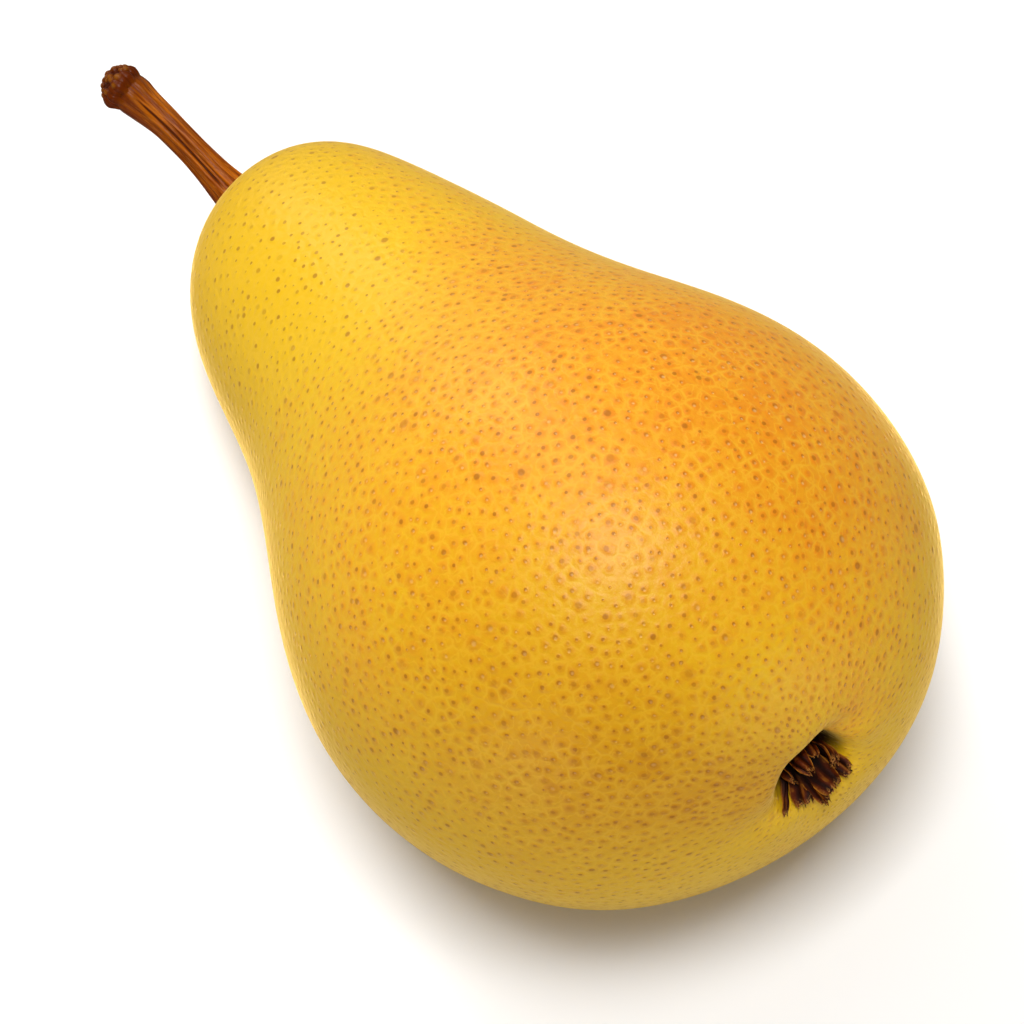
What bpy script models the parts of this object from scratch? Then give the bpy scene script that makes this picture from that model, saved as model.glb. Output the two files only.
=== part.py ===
"""A ripe pear lying on its side.

The fruit is modelled upright in its own frame: the blossom end is at the origin and +Z runs to the stem.
It is then laid down on the two places where such a pear touches a table, its belly and its neck.
Lengths are in metres and angles in radians.
"""

import math
import random

import bmesh
import bpy
from mathutils import Vector

MM = 0.001

# Colour and roughness of each material
SKIN_COLOUR = (0.78, 0.50, 0.06)
SKIN_ROUGHNESS = 0.42
BARK_COLOUR = (0.32, 0.11, 0.02)
BARK_ROUGHNESS = 0.38
CALYX_COLOUR = (0.10, 0.03, 0.01)
CALYX_ROUGHNESS = 0.55

# Outline of the fruit, from the stem end down to the blossom end
FRUIT_LENGTH = 109.25 * MM
STEM_END_ROUNDING = 16.25 * MM
NECK_RADIUS = 22.5 * MM
NECK_HEIGHT = 78.0 * MM
NECK_SLOPE = math.radians(74)
NECK_HANDLE_UP = 17.0 * MM
NECK_HANDLE_DOWN = 18.0 * MM
BELLY_RADIUS = 37.0 * MM
BELLY_HEIGHT = 35.0 * MM
BELLY_HANDLE_UP = 15.5 * MM
BELLY_HANDLE_DOWN = 19.25 * MM
BLOSSOM_END_ROUNDING = 23.25 * MM

# The fruit is not quite straight: height above the blossom end, and how far its middle lies off the axis
MIDDLE_LINE = (
    (0.0 * MM, -5.25 * MM),
    (8.0 * MM, -2.75 * MM),
    (20.0 * MM, -2.0 * MM),
    (36.0 * MM, -1.0 * MM),
    (56.0 * MM, 0.0 * MM),
    (78.0 * MM, -0.75 * MM),
    (98.0 * MM, -0.25 * MM),
    (FRUIT_LENGTH, -1.25 * MM),
)

# The hollow of the blossom end
BASIN_DEPTH = 6.8 * MM
BASIN_RADIUS = 4.1 * MM
BASIN_SIDEWAYS = 0.4 * MM
BASIN_STEEPNESS = 6.0
SHOULDER_DEPTH = 0.6 * MM
SHOULDER_RADIUS = 9.0 * MM
FURROW_COUNT = 5
FURROW_DEPTH = 0.25 * MM
FURROW_RADIUS = 7.5 * MM
FURROW_WIDTH = 3.5 * MM

# The dimple and the socket that hold the stem
STEM_DIMPLE_DEPTH = 0.8 * MM
STEM_DIMPLE_RADIUS = 4.5 * MM
SOCKET_WIDENING = 0.4 * MM
SOCKET_MOUTH_SHARE = 0.4

# Facets of the fruit
SIDES_ROUND = 64
CAP_STEPS = 17
CAP_CROWDING = 1.25
WAIST_STEPS = 8
BELLY_STEPS = 9
BASIN_STEPS = 14
BASIN_EDGE = 13.0 * MM

# The stem: where it enters the fruit, and the points of its middle line with its radius at each
STEM_ENTRY = (1.0 * MM, -0.1 * MM)
STEM_STATIONS = (
    (0.4 * MM, -1.6 * MM, 105.6 * MM, 2.2 * MM),
    (0.7 * MM, -0.9 * MM, 107.5 * MM, 2.5 * MM),
    (*STEM_ENTRY, 109.3 * MM, 2.8 * MM),
    (1.2 * MM, 1.2 * MM, 111.3 * MM, 2.5 * MM),
    (1.4 * MM, 2.8 * MM, 113.9 * MM, 2.1 * MM),
    (1.6 * MM, 5.0 * MM, 117.7 * MM, 1.85 * MM),
    (1.9 * MM, 7.3 * MM, 121.6 * MM, 1.9 * MM),
    (2.3 * MM, 9.0 * MM, 124.4 * MM, 2.2 * MM),
    (2.7 * MM, 10.4 * MM, 126.8 * MM, 2.6 * MM),
    (3.0 * MM, 11.3 * MM, 128.2 * MM, 2.5 * MM),
    (3.1 * MM, 11.8 * MM, 128.9 * MM, 2.0 * MM),
)
STEM_STEPS_BETWEEN = 2
STEM_RIBS = 7
STEM_RIB_DEPTH = 0.09
STEM_LOBES = 3
STEM_LOBE_DEPTH = 0.036
STEM_RIB_SIDES = 28
STEM_TWIST = math.radians(35)

# The bumps on the stem's free end, spread over a slightly flattened ball that faces along the stem
KNOB_BUMPS = 17
KNOB_BUMP_RADIUS = 0.68 * MM
KNOB_BUMP_SPREAD = (0.85, 1.15)
KNOB_RADIUS = 2.55 * MM
KNOB_FLATNESS = 0.85
KNOB_SINK = 0.72
KNOB_OPENING = 1.05
KNOB_AIM_SHARE = 0.88
KNOB_TURN_SCATTER = 0.2
KNOB_SEED = 4

# The dried calyx on the floor of the basin
CALYX_GAP = 0.45 * MM
CALYX_BASE_RADIUS = 2.0 * MM
CALYX_BASE_HEIGHT = 1.2 * MM
CALYX_BASE_SIDES = 18
SEPAL_ROOT_RADIUS = 1.45 * MM
SEPAL_THICKNESS = 0.62 * MM
SEPAL_STEPS_LONG = 5
SEPAL_STEPS_WIDE = 2
SEPAL_FOLD = 0.35 * MM
SEPAL_OPENING = 1.6
SEPAL_END_WIDTH = 0.75
SEPAL_MIDDLE_WIDTH = 0.5
SEPAL_WIDEST = 0.8
SEPAL_CLEARANCE = 0.915 * MM
SLOPE_STEP = 0.05 * MM
# Each sepal: the way it points, how far out its tip reaches, its half width, and how far it rises
SEPALS = (
    (math.radians(339), 6.0 * MM, 0.7 * MM, 6.3 * MM),
    (math.radians(306), 5.2 * MM, 1.1 * MM, 6.2 * MM),
    (math.radians(284), 5.8 * MM, 0.9 * MM, 6.9 * MM),
    (math.radians(262), 5.2 * MM, 1.1 * MM, 6.3 * MM),
    (math.radians(233), 5.4 * MM, 0.9 * MM, 6.0 * MM),
    (math.radians(205), 4.2 * MM, 0.9 * MM, 5.4 * MM),
    (math.radians(168), 2.7 * MM, 0.95 * MM, 5.4 * MM),
    (math.radians(125), 2.2 * MM, 0.9 * MM, 5.4 * MM),
    (math.radians(78), 2.2 * MM, 0.95 * MM, 6.0 * MM),
    (math.radians(18), 2.8 * MM, 1.1 * MM, 5.0 * MM),
)

# How the fruit lies: its stem end points down a little, and the fruit is turned about its own axis
REST_TILT = math.radians(20)
REST_TURN = math.radians(-99)
FLAT_DEPTH = 0.35 * MM
FLOOR_CUTTER_SIZE = 400 * MM
WELD = 0.002 * MM


def clear_scene():
    for old in list(bpy.data.objects):
        bpy.data.objects.remove(old, do_unlink=True)


def make_collection(name):
    made = bpy.data.collections.new(name)
    bpy.context.scene.collection.children.link(made)
    return made


def make_material(name, colour, roughness):
    made = bpy.data.materials.new(name)
    made.use_nodes = True
    shader = made.node_tree.nodes["Principled BSDF"]
    shader.inputs["Base Color"].default_value = (*colour, 1.0)
    shader.inputs["Roughness"].default_value = roughness
    shader.inputs["Metallic"].default_value = 0.0
    return made


def smooth_through(stations, where):
    """The value at a place on the smooth line through (place, value) stations."""
    places = [place for place, _ in stations]
    values = [value for _, value in stations]
    last = len(stations) - 1
    gaps = [places[k + 1] - places[k] for k in range(last)]
    slopes = [(values[k + 1] - values[k]) / gaps[k] for k in range(last)]
    lean = [
        (slopes[k - 1] * gaps[k] + slopes[k] * gaps[k - 1]) / (gaps[k] + gaps[k - 1])
        for k in range(1, last)
    ]
    first_lean = 1.5 * slopes[0] - 0.5 * lean[0]
    last_lean = 1.5 * slopes[-1] - 0.5 * lean[-1]
    lean = [first_lean, *lean, last_lean]
    where = min(max(where, places[0]), places[-1])
    k = max(j for j in range(last) if places[j] <= where)
    t = (where - places[k]) / gaps[k]
    start = (2 * t**3 - 3 * t**2 + 1) * values[k] + (t**3 - 2 * t**2 + t) * gaps[k] * lean[k]
    end = (3 * t**2 - 2 * t**3) * values[k + 1] + (t**3 - t**2) * gaps[k] * lean[k + 1]
    return start + end


def bezier_point(ends_and_handles, t):
    a, b, c, d = (Vector(point) for point in ends_and_handles)
    return a * (1 - t) ** 3 + b * 3 * t * (1 - t) ** 2 + c * 3 * t * t * (1 - t) + d * t**3


def outline_points():
    """The turned outline as (radius, height), from the stem end down to the blossom end."""
    along_neck = Vector((math.cos(NECK_SLOPE), -math.sin(NECK_SLOPE)))
    neck = Vector((NECK_RADIUS, NECK_HEIGHT))
    stem_end = (0.0, FRUIT_LENGTH)
    cap = (
        stem_end,
        (STEM_END_ROUNDING, FRUIT_LENGTH),
        neck - along_neck * NECK_HANDLE_UP,
        neck,
    )
    waist = (
        neck,
        neck + along_neck * NECK_HANDLE_DOWN,
        (BELLY_RADIUS, BELLY_HEIGHT + BELLY_HANDLE_UP),
        (BELLY_RADIUS, BELLY_HEIGHT),
    )
    belly = (
        (BELLY_RADIUS, BELLY_HEIGHT),
        (BELLY_RADIUS, BELLY_HEIGHT - BELLY_HANDLE_DOWN),
        (BLOSSOM_END_ROUNDING, 0.0),
        (0.0, 0.0),
    )
    basin_share = BASIN_EDGE / (3 * BLOSSOM_END_ROUNDING)
    points = [bezier_point(cap, (k / CAP_STEPS) ** CAP_CROWDING) for k in range(CAP_STEPS)]
    points += [bezier_point(waist, k / WAIST_STEPS) for k in range(WAIST_STEPS)]
    points += [bezier_point(belly, k / BELLY_STEPS * (1 - basin_share)) for k in range(BELLY_STEPS)]
    points += [
        bezier_point(belly, 1 - basin_share * (1 - k / BASIN_STEPS)) for k in range(BASIN_STEPS + 1)
    ]
    return points


def basin_dent(radius):
    """How deep the blossom end is hollowed at a distance from its middle."""
    funnel = BASIN_DEPTH / (1 + (radius / BASIN_RADIUS) ** BASIN_STEEPNESS)
    shoulder = SHOULDER_DEPTH * math.exp(-((radius / SHOULDER_RADIUS) ** 2))
    return funnel + shoulder


def basin_height(radius):
    """The height of the basin's surface above the untouched blossom end."""
    handle_drop = BELLY_HEIGHT - BELLY_HANDLE_DOWN
    end_radius = BLOSSOM_END_ROUNDING**2 / (2 / 3 * handle_drop)
    return radius**2 / (2 * end_radius) + basin_dent(radius)


def mesh_object(name, mesh, collection, material=None):
    made = bpy.data.objects.new(name, mesh)
    collection.objects.link(made)
    if material:
        mesh.materials.append(material)
    return made


def finished_mesh(source):
    """The object's mesh with its modifiers applied; the source object is removed."""
    graph = bpy.context.evaluated_depsgraph_get()
    mesh = bpy.data.meshes.new_from_object(source.evaluated_get(graph))
    bpy.data.objects.remove(source, do_unlink=True)
    work = bmesh.new()
    work.from_mesh(mesh)
    bmesh.ops.remove_doubles(work, verts=work.verts, dist=WELD)
    bmesh.ops.recalc_face_normals(work, faces=work.faces)
    work.to_mesh(mesh)
    work.free()
    mesh.shade_smooth()
    return mesh


def stem_line(share):
    """The stem's middle point and radius at a share of the way from its root to its free end."""
    spans = len(STEM_STATIONS) - 1
    columns = list(zip(*STEM_STATIONS))
    values = [smooth_through([(k / spans, column[k]) for k in range(spans + 1)], share) for column in columns]
    return Vector(values[:3]), values[3]


def turned_fruit(collection):
    """The outline turned about the fruit's axis."""
    mesh = bpy.data.meshes.new("outline")
    points = outline_points()
    edges = [(k, k + 1) for k in range(len(points) - 1)]
    mesh.from_pydata([(radius, 0.0, height) for radius, height in points], edges, [])
    outline = mesh_object("outline", mesh, collection)
    turn = outline.modifiers.new("turn", "SCREW")
    turn.axis = "Z"
    turn.angle = 2 * math.pi
    turn.steps = SIDES_ROUND
    turn.render_steps = SIDES_ROUND
    turn.use_merge_vertices = True
    turn.merge_threshold = WELD
    return finished_mesh(outline)


def shape_fruit(mesh):
    """Bends the fruit along its middle line, hollows the blossom end and dimples the stem end."""
    entry = Vector(STEM_ENTRY)
    for vertex in mesh.vertices:
        x, y, height = vertex.co
        radius = math.hypot(x, y)
        turn = math.atan2(y, x)
        x += smooth_through(MIDDLE_LINE, height)
        if height < BELLY_HEIGHT / 2:
            off_middle = radius * math.cos(turn) - BASIN_SIDEWAYS
            from_basin = math.hypot(off_middle, y)
            around = math.atan2(y, off_middle)
            furrow = math.exp(-(((from_basin - FURROW_RADIUS) / FURROW_WIDTH) ** 2))
            height += basin_dent(from_basin) + FURROW_DEPTH * furrow * math.cos(FURROW_COUNT * around)
        if height > NECK_HEIGHT:
            from_stem = (Vector((x, y)) - entry).length
            height -= STEM_DIMPLE_DEPTH * math.exp(-((from_stem / STEM_DIMPLE_RADIUS) ** 2))
        vertex.co = (x, y, height)


def subtract(target, cutter, name):
    cut = target.modifiers.new(name, "BOOLEAN")
    cut.operation = "DIFFERENCE"
    cut.solver = "EXACT"
    cut.object = cutter


def as_cutter(cutter):
    cutter.hide_render = True
    cutter.display_type = "WIRE"


def make_floor_cutter(cutters):
    bpy.ops.mesh.primitive_cube_add(size=FLOOR_CUTTER_SIZE, location=(0, 0, -FLOOR_CUTTER_SIZE / 2))
    cutter = bpy.context.object
    cutter.name = "floor_cutter"
    for owner in list(cutter.users_collection):
        owner.objects.unlink(cutter)
    cutters.objects.link(cutter)
    as_cutter(cutter)
    return cutter


def make_body(parts):
    skin = make_material("pear_skin", SKIN_COLOUR, SKIN_ROUGHNESS)
    mesh = turned_fruit(parts)
    shape_fruit(mesh)
    return mesh_object("pear_body", mesh, parts, skin)


def fuse(name, pieces, collection, material):
    """One object from overlapping pieces, by a single Boolean union on their collection."""
    group = make_collection(name + "_pieces")
    first = pieces[0]
    for piece in pieces[1:]:
        for owner in list(piece.users_collection):
            owner.objects.unlink(piece)
        group.objects.link(piece)
    join = first.modifiers.new("join", "BOOLEAN")
    join.operation = "UNION"
    join.solver = "EXACT"
    join.operand_type = "COLLECTION"
    join.collection = group
    bpy.context.view_layer.update()
    place = first.matrix_world.copy()
    mesh = finished_mesh(first)
    mesh.transform(place)
    for piece in list(group.objects):
        bpy.data.objects.remove(piece, do_unlink=True)
    bpy.data.collections.remove(group)
    mesh.materials.clear()
    return mesh_object(name, mesh, collection, material)


def ribbed_section(collection):
    """The stem's ribbed cross-section, of radius 1, as a closed curve."""
    curve = bpy.data.curves.new("stem_section", "CURVE")
    curve.dimensions = "2D"
    spline = curve.splines.new("POLY")
    spline.points.add(STEM_RIB_SIDES - 1)
    for k, point in enumerate(spline.points):
        turn = 2 * math.pi * k / STEM_RIB_SIDES
        reach = 1 + STEM_RIB_DEPTH * math.cos(STEM_RIBS * turn)
        reach += STEM_LOBE_DEPTH * math.cos(STEM_LOBES * turn)
        point.co = (reach * math.cos(turn), reach * math.sin(turn), 0, 1)
    spline.use_cyclic_u = True
    section = bpy.data.objects.new("stem_section", curve)
    collection.objects.link(section)
    return section


def stem_sweep(name, collection, widening=0.0, last_share=1.0):
    """The ribbed section swept along the stem's middle line, as a closed mesh object."""
    section = ribbed_section(collection)
    curve = bpy.data.curves.new(name, "CURVE")
    curve.dimensions = "3D"
    curve.bevel_mode = "OBJECT"
    curve.bevel_object = section
    curve.use_fill_caps = True
    count = (len(STEM_STATIONS) - 1) * STEM_STEPS_BETWEEN + 1
    shares = [k / (count - 1) for k in range(count) if k / (count - 1) <= last_share]
    spline = curve.splines.new("POLY")
    spline.points.add(len(shares) - 1)
    for share, point in zip(shares, spline.points):
        place, radius = stem_line(share)
        point.co = (*place, 1)
        point.radius = radius + widening
        point.tilt = STEM_TWIST * share
    if widening:
        root, above = (Vector(spline.points[k].co[:3]) for k in (0, 1))
        spline.points[0].co = (*(root - (above - root).normalized() * widening), 1)
    swept = bpy.data.objects.new(name, curve)
    collection.objects.link(swept)
    mesh = finished_mesh(swept)
    bpy.data.objects.remove(section, do_unlink=True)
    return mesh_object(name, mesh, collection)


def knob_bumps(collection):
    """Rounded bumps spread evenly over the free end of the stem, from its rim to its middle."""
    draw = random.Random(KNOB_SEED)
    end, _ = stem_line(1.0)
    before, _ = stem_line(KNOB_AIM_SHARE)
    along = (end - before).normalized()
    centre = end - along * KNOB_RADIUS * KNOB_SINK
    facing = along.to_track_quat("Z", "Y")
    bumps = []
    golden_turn = math.pi * (3 - math.sqrt(5))
    for k in range(KNOB_BUMPS):
        rise = 1 - KNOB_OPENING * (k + 0.5) / KNOB_BUMPS
        spread = math.sqrt(1 - rise * rise)
        turn = k * golden_turn + draw.uniform(-KNOB_TURN_SCATTER, KNOB_TURN_SCATTER)
        out = facing @ Vector((spread * math.cos(turn), spread * math.sin(turn), rise * KNOB_FLATNESS))
        bpy.ops.mesh.primitive_ico_sphere_add(
            subdivisions=2,
            radius=KNOB_BUMP_RADIUS * draw.uniform(*KNOB_BUMP_SPREAD),
            location=centre + out * KNOB_RADIUS,
            rotation=[draw.uniform(0, math.pi) for _ in range(3)],
        )
        bumps.append(bpy.context.object)
    return bumps


def make_stem(parts):
    bark = make_material("stem_bark", BARK_COLOUR, BARK_ROUGHNESS)
    pieces = [stem_sweep("stem_shaft", parts), *knob_bumps(parts)]
    return fuse("stem", pieces, parts, bark)


def sepal_point(sepal, along, across):
    """A point of a sepal's middle sheet: along runs from root to tip, across from -1 to 1."""
    direction, reach, half_width, rise = sepal
    floor = basin_height(0.0)
    half_base = CALYX_BASE_HEIGHT / 2
    out = SEPAL_ROOT_RADIUS + (reach - SEPAL_ROOT_RADIUS) * along**SEPAL_OPENING
    height = floor - CALYX_GAP - half_base - (rise - half_base) * along
    width = half_width * (SEPAL_END_WIDTH + SEPAL_MIDDLE_WIDTH * math.sin(math.pi * along**SEPAL_WIDEST))
    out -= SEPAL_FOLD * across**2
    slope = (basin_height(out + SLOPE_STEP) - basin_height(out - SLOPE_STEP)) / (2 * SLOPE_STEP)
    height = min(height, basin_height(out) - SEPAL_CLEARANCE * math.sqrt(1 + slope * slope))
    turn = direction + across * width / max(out, CALYX_BASE_RADIUS)
    return Vector((out * math.cos(turn), out * math.sin(turn), height))


def make_sepal(sepal, collection):
    work = bmesh.new()
    bmesh.ops.create_grid(work, x_segments=SEPAL_STEPS_WIDE, y_segments=SEPAL_STEPS_LONG, size=1.0)
    for vertex in work.verts:
        across, along, _ = vertex.co
        vertex.co = sepal_point(sepal, (along + 1) / 2, across)
    mesh = bpy.data.meshes.new("sepal")
    work.to_mesh(mesh)
    work.free()
    made = mesh_object("sepal", mesh, collection)
    thick = made.modifiers.new("thickness", "SOLIDIFY")
    thick.thickness = SEPAL_THICKNESS
    thick.offset = 0.0
    return mesh_object("sepal", finished_mesh(made), collection)


def make_calyx(parts):
    dried = make_material("calyx_dried", CALYX_COLOUR, CALYX_ROUGHNESS)
    floor = basin_height(0.0)
    bpy.ops.mesh.primitive_cylinder_add(
        vertices=CALYX_BASE_SIDES,
        radius=CALYX_BASE_RADIUS,
        depth=CALYX_BASE_HEIGHT,
        location=(0, 0, floor - CALYX_GAP - CALYX_BASE_HEIGHT / 2),
    )
    pieces = [bpy.context.object]
    pieces += [make_sepal(sepal, parts) for sepal in SEPALS]
    return fuse("calyx", pieces, parts, dried)


def lay_down(fruit_axis, pieces):
    """Stands the laid fruit on the ground, sunk by the depth of its flats and centred over the origin."""
    bpy.context.view_layer.update()
    corners = [piece.matrix_world @ vertex.co for piece in pieces for vertex in piece.data.vertices]
    middle = [(min(c[k] for c in corners) + max(c[k] for c in corners)) / 2 for k in (0, 1)]
    lowest = min(c.z for c in corners)
    fruit_axis.location = (-middle[0], -middle[1], -lowest - FLAT_DEPTH)
    bpy.context.view_layer.update()


def main():
    clear_scene()
    parts = make_collection("pear")
    cutters = make_collection("cutters")
    fruit_axis = bpy.data.objects.new("fruit_axis", None)
    parts.objects.link(fruit_axis)

    body = make_body(parts)
    stem = make_stem(parts)
    calyx = make_calyx(parts)
    calyx.location.x = smooth_through(MIDDLE_LINE, 0.0) + BASIN_SIDEWAYS
    socket = stem_sweep("socket_cutter", cutters, SOCKET_WIDENING, SOCKET_MOUTH_SHARE)
    as_cutter(socket)
    for piece in (body, stem, calyx, socket):
        piece.parent = fruit_axis

    fruit_axis.rotation_mode = "ZYX"
    fruit_axis.rotation_euler = (0.0, -math.pi / 2 - REST_TILT, REST_TURN)
    lay_down(fruit_axis, (body, stem, calyx))
    subtract(body, socket, "stem_socket")
    subtract(body, make_floor_cutter(cutters), "resting_flats")


main()
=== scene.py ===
"""The looks of a ripe pear lying on its side: its skin, its woody stem and its dried calyx.

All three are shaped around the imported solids. Lengths are in metres and angles in radians, but the tables of
zones, stations, grooves and sepals are in millimetres and degrees. The fruit's own frame has its origin at
the blossom end and +Z to the stem, and the fruit is laid down in the row frame at the end.
"""

import math

import bpy
import numpy as np
from mathutils import Euler, Matrix, Vector, kdtree, noise


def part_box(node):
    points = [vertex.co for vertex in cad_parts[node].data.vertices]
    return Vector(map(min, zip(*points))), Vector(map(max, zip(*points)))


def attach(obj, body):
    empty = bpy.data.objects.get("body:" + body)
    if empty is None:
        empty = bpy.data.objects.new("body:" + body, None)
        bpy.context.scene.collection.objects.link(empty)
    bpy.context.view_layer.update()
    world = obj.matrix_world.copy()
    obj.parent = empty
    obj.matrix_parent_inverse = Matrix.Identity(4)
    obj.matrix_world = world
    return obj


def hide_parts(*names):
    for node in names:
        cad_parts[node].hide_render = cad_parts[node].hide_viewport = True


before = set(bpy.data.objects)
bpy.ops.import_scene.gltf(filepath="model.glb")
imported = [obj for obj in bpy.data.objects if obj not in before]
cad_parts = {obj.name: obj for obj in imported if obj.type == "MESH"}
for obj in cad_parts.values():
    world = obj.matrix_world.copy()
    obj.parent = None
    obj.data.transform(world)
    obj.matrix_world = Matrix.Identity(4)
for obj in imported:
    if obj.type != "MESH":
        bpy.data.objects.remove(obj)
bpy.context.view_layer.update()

MM = 0.001

# Outline of the fruit, as in the solids
FRUIT_LENGTH = 109.25 * MM
STEM_END_ROUNDING = 16.25 * MM
NECK_RADIUS = 22.5 * MM
NECK_HEIGHT = 78.0 * MM
NECK_SLOPE = math.radians(74)
NECK_HANDLE_UP = 17.0 * MM
NECK_HANDLE_DOWN = 18.0 * MM
BELLY_RADIUS = 37.0 * MM
BELLY_HEIGHT = 35.0 * MM
BELLY_HANDLE_UP = 15.5 * MM
BELLY_HANDLE_DOWN = 19.25 * MM
BLOSSOM_END_ROUNDING = 23.25 * MM
MIDDLE_LINE = (
    (0.0 * MM, -5.25 * MM),
    (8.0 * MM, -2.75 * MM),
    (20.0 * MM, -2.0 * MM),
    (36.0 * MM, -1.0 * MM),
    (56.0 * MM, 0.0 * MM),
    (78.0 * MM, -0.75 * MM),
    (98.0 * MM, -0.25 * MM),
    (FRUIT_LENGTH, -1.25 * MM),
)

# The basin of the blossom end and the dimple at the stem
BASIN_DEPTH = 6.8 * MM
BASIN_RADIUS = 4.1 * MM
BASIN_SIDEWAYS = 0.4 * MM
BASIN_STEEPNESS = 6.0
SHOULDER_DEPTH = 0.6 * MM
SHOULDER_RADIUS = 9.0 * MM
FURROW_COUNT = 5
FURROW_DEPTH = 0.25 * MM
FURROW_RADIUS = 7.5 * MM
FURROW_WIDTH = 3.5 * MM
NOTCH_WAY = math.radians(125)
NOTCH_DEPTH = 1.15 * MM
NOTCH_RADIUS = 5.5 * MM
NOTCH_REACH = 3.0 * MM
NOTCH_WIDTH = math.radians(28)
STEM_ENTRY = (1.0 * MM, -0.1 * MM)
STEM_DIMPLE_DEPTH = 0.8 * MM
STEM_DIMPLE_RADIUS = 4.5 * MM

# How the fruit lies
REST_TILT = math.radians(20)
REST_TURN = math.radians(-99)

# The skin's mesh: rings from the stem end to the blossom end, closer together near both ends
SKIN_RINGS = 300
SKIN_SIDES = 312
CURVE_SAMPLES = 600
END_CLOSENESS = 1.4
END_REACH = 12.0 * MM

# The skin divides into small cells. Every cell has a pore near its middle, and more where it has room
PORE_SEED = 11
CELL_SPACING = 1.35 * MM
CELL_GAPS = (0.8, 1.25)
CELL_TRIES = 90000
PORE_SPACING = 0.85 * MM
PORE_GAPS = (0.9, 1.5)
PORE_TRIES = 22000
PORE_LOG_SIZE = -0.20
PORE_LOG_SPREAD = 0.27
PORE_MARKS = (0.2, 1.0)
PORE_FROM_EDGE = 0.25 * MM
# Each pore's brown ring leans toward the stem as painted shade, its pale middle the other way as a painted
# highlight
PORE_SHADE_SHIFT = 0.075
CELL_WARP_STEP = 0.9 * MM
CELL_WARP = 0.35
PORE_WARP_STEP = 0.5 * MM
PORE_WARP = 0.10
BASIN_PORE_REACH = 16.0 * MM
BASIN_CROWDING = 0.66
BASIN_PORE_STRETCH = 1.6
CELLS_READ = 3
PORES_READ = 2
# A wandering lean adds to that shift of each pore's painted shade and highlight
SHADE_LEAN_STEP = 5.0 * MM
SHADE_LEAN_SIZE = 0.09
MOTTLE_STEP = 8.0 * MM
MOTTLE_FINER_STEP = 3.4 * MM
BROKEN_STEP = 2.6 * MM

# Colour zones of the skin. Each: its height above the blossom end, its way round the fruit, its reach along
# the fruit and round it, and its strength
BLUSH_ZONES = (
    (26.0, 138, 26.0, 35, 0.85),
    (38.0, 80, 28.0, 46, 0.50),
    (66.0, 128, 24.0, 30, 0.45),
    (90.0, 92, 22.0, 30, -0.55),
)
GOLD_ZONES = (
    (5.0, 50, 16.0, 42, 0.95),
    (24.0, 52, 16.0, 32, 0.3),
)
GREEN_ZONES = (
    (80.0, 22, 22.0, 30, 0.6),
    (40.0, 5, 26.0, 24, 0.5),
    (40.0, -75, 45.0, 60, 0.5),
    (103.0, 110, 9.0, 70, 0.3),
)

# Colours of the skin
YELLOW = (0.735, 0.430, 0.004)
ORANGE = (0.73, 0.320, 0.008)
DEEP_BLUSH = (0.70, 0.225, 0.006)
PALE_NET = (0.80, 0.49, 0.030)
GOLD = (0.52, 0.218, 0.0015)
GREEN = (0.60, 0.360, 0.004)
# The ring is the pore's own brown and the middle its own pale centre; set apart, they make painted shade and a
# painted highlight
PORE_RING = (0.29, 0.092, 0.002)
PORE_MIDDLE = (0.86, 0.54, 0.20)
# The hollow colour is painted shade in the basin, in the brown of its wall
HOLLOW_SHADE = (0.050, 0.012, 0.001)
SKIN_SHEEN = (1.0, 0.68, 0.20)

# Where painted shade darkens the basin's floor
HOLLOW_SHADE_EDGE = 4.75 * MM
HOLLOW_SHADE_FADE = 1.3 * MM

# How the skin's pattern shows. A range says where a value starts to count and where it counts in full. A pair
# of shares says what full blush adds and what is there without it. Distances are in millimetres
NET_REACH = 0.5
NET_BREAK = 0.22
NET_SHARES = (0.15, 0.2)
PORE_DARK_RANGE = (0.16, 0.33)
PORE_OPEN_RANGE = (0.06, 0.25)
PORE_OPEN_KINDS = (0.3, 0.7)
PORE_HALO_RANGE = (0.15, 0.85)
PORE_RING_SHARE = 0.72
PORE_MIDDLE_SHARES = (0.3, 0.16)
HALO_LEVEL = 0.3
HALO_SHARES = (0.3, 0.2)
FINE_STEP = 0.8
FINE_DETAIL = 3.0
FINE_ROUGHNESS = 0.7
FINE_REDDENING = 0.7
MOTTLE_REDDENING = 0.13
CREASE_STEP = 2.2
CREASE_DETAIL = 2.0
CREASE_ROUGHNESS = 0.6
CREASE_WIDTH = 0.045
CREASE_SHARE = 0.8
ORANGE_RANGE = (0.0, 0.5)
BLUSH_RANGE = (0.5, 1.0)
GOLD_SHARES = (0.75, 1.1)
PEBBLE_REACH = 1.1
PEBBLE_HEIGHT = 0.035
PORE_DOME_RANGE = (0.15, 0.6)
PORE_DOME_HEIGHT = 0.03
PORE_PIT_HEIGHT = -0.045
FINE_HEIGHT = 0.06
SKIN_ROUGHNESS = 0.43
SKIN_SPECULAR = 0.24
SKIN_SHEEN_WEIGHT = 0.8
SKIN_SHEEN_ROUGHNESS = 0.25

# The stem: points of its middle line in the fruit's own frame, with its radius at each. A dome ends it
STEM_STATIONS = (
    (0.4, -1.6, 105.6, 2.2),
    (0.7, -0.9, 107.5, 2.5),
    (1.0, -0.1, 109.3, 2.8),
    (1.2, 1.2, 111.3, 2.5),
    (1.4, 2.8, 113.9, 2.1),
    (1.6, 5.0, 117.7, 1.85),
    (1.9, 7.3, 121.6, 1.9),
    (2.3, 9.0, 124.4, 2.2),
    (2.7, 10.4, 126.8, 2.55),
    (2.85, 10.7, 127.3, 2.55),
)
STEM_RINGS = 225
STEM_SIDES = 288
KNOB_RINGS = 44
KNOB_DOME = 2.45 * MM
RIB_COUNT = 7
RIB_HEIGHT = 0.11 * MM
RIB_TWIST = math.radians(35)
STRIA_HEIGHT = 0.07 * MM
STRIA_CLOSENESS = 5.0
STRIA_LENGTH = 6.0 * MM
STRIA_FINER = 2.3

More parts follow.
